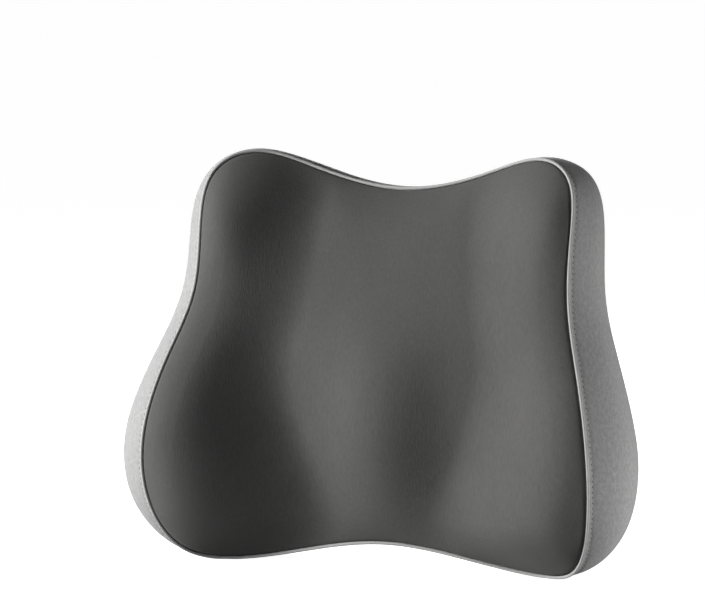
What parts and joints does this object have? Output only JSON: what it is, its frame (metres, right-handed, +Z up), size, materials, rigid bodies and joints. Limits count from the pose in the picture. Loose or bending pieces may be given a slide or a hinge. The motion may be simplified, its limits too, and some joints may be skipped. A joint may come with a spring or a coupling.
{
  "type": "lumbar support cushion",
  "caption": "Contoured foam lumbar cushion with forward wings and a spine ridge, in a piped, zipped cover, held to a chair back by buckled elastic straps.",
  "frame": {"origin": "on the floor under the middle of the cushion, which stands on its two lower lobes", "axes": "+X to the right of a viewer who faces the sitter's side, +Y towards the chair back, +Z up"},
  "size_m": [0.4468, 0.1342, 0.3446],
  "materials": {
    "charcoal_velour": "short pile, matt",
    "heather_knit": "flecked knit, matt",
    "piping_grey": "matt",
    "back_knit": "matt knit",
    "memory_foam": "open cell, matt",
    "liner_knit": "thin knit",
    "zip_tape": "woven",
    "zip_nylon": "satin",
    "zip_metal": "gunmetal, satin",
    "elastic_webbing": "woven, matt",
    "buckle_acetal": "satin"
  },
  "bodies": {
    "cushion": {"front_panel": "charcoal_velour", "side_band": "heather_knit", "front_piping": "piping_grey", "back_panel_upper": "back_knit", "back_panel_lower": "back_knit", "foam_core": "memory_foam", "inner_liner": "liner_knit", "zip_tape_upper": "zip_tape", "zip_tape_lower": "zip_tape", "zip_coil_upper": "zip_nylon", "zip_coil_lower": "zip_nylon", "zip_top_stop_upper": "zip_metal", "zip_top_stop_lower": "zip_metal", "zip_bottom_stop": "zip_metal", "upper_strap_left": "elastic_webbing", "upper_strap_right": "elastic_webbing", "upper_buckle_socket": "buckle_acetal", "lower_strap_left": "elastic_webbing", "lower_strap_right": "elastic_webbing", "lower_buckle_socket": "buckle_acetal"},
    "zip_slider": {"zip_slider": "zip_metal"},
    "zip_pull": {"zip_pull": "zip_metal"},
    "upper_plug": {"upper_buckle_plug": "buckle_acetal"},
    "upper_arm_top": {"upper_buckle_arm_top": "buckle_acetal"},
    "upper_arm_bottom": {"upper_buckle_arm_bottom": "buckle_acetal"},
    "lower_plug": {"lower_buckle_plug": "buckle_acetal"},
    "lower_arm_top": {"lower_buckle_arm_top": "buckle_acetal"},
    "lower_arm_bottom": {"lower_buckle_arm_bottom": "buckle_acetal"}
  },
  "joints": [
    {"name": "zip_slide", "type": "slide", "parent": "cushion", "child": "zip_slider", "axis": [1, 0, 0], "range_m": [0, 0.3], "deforming": ["zip_coil_upper", "zip_coil_lower"]},
    {"name": "zip_pull_hinge", "type": "hinge", "parent": "zip_slider", "child": "zip_pull", "pos_m": [-0.146, 0.0617, 0.084], "axis": [0, 0, 1], "range_deg": [0, 165]},
    {"name": "upper_buckle_release", "type": "slide", "parent": "cushion", "child": "upper_plug", "axis": [1, 0, 0], "range_m": [0, 0.032], "deforming": ["upper_strap_right", "upper_buckle_arm_top", "upper_buckle_arm_bottom"]},
    {"name": "upper_arm_top_squeeze", "type": "hinge", "parent": "upper_plug", "child": "upper_arm_top", "pos_m": [0.0142, 0.0631, 0.2534], "axis": [0, -1, 0], "range_deg": [0, 16], "stiffness_Nm_per_rad": 0.2},
    {"name": "upper_arm_bottom_squeeze", "type": "hinge", "parent": "upper_plug", "child": "upper_arm_bottom", "pos_m": [0.0142, 0.0631, 0.2346], "axis": [0, 1, 0], "range_deg": [0, 16], "stiffness_Nm_per_rad": 0.2},
    {"name": "lower_buckle_release", "type": "slide", "parent": "cushion", "child": "lower_plug", "axis": [1, 0, 0], "range_m": [0, 0.032], "deforming": ["lower_strap_right", "lower_buckle_arm_top", "lower_buckle_arm_bottom"]},
    {"name": "lower_arm_top_squeeze", "type": "hinge", "parent": "lower_plug", "child": "lower_arm_top", "pos_m": [0.0142, 0.0631, 0.1594], "axis": [0, -1, 0], "range_deg": [0, 16], "stiffness_Nm_per_rad": 0.2},
    {"name": "lower_arm_bottom_squeeze", "type": "hinge", "parent": "lower_plug", "child": "lower_arm_bottom", "pos_m": [0.0142, 0.0631, 0.1406], "axis": [0, 1, 0], "range_deg": [0, 16], "stiffness_Nm_per_rad": 0.2}
  ]
}
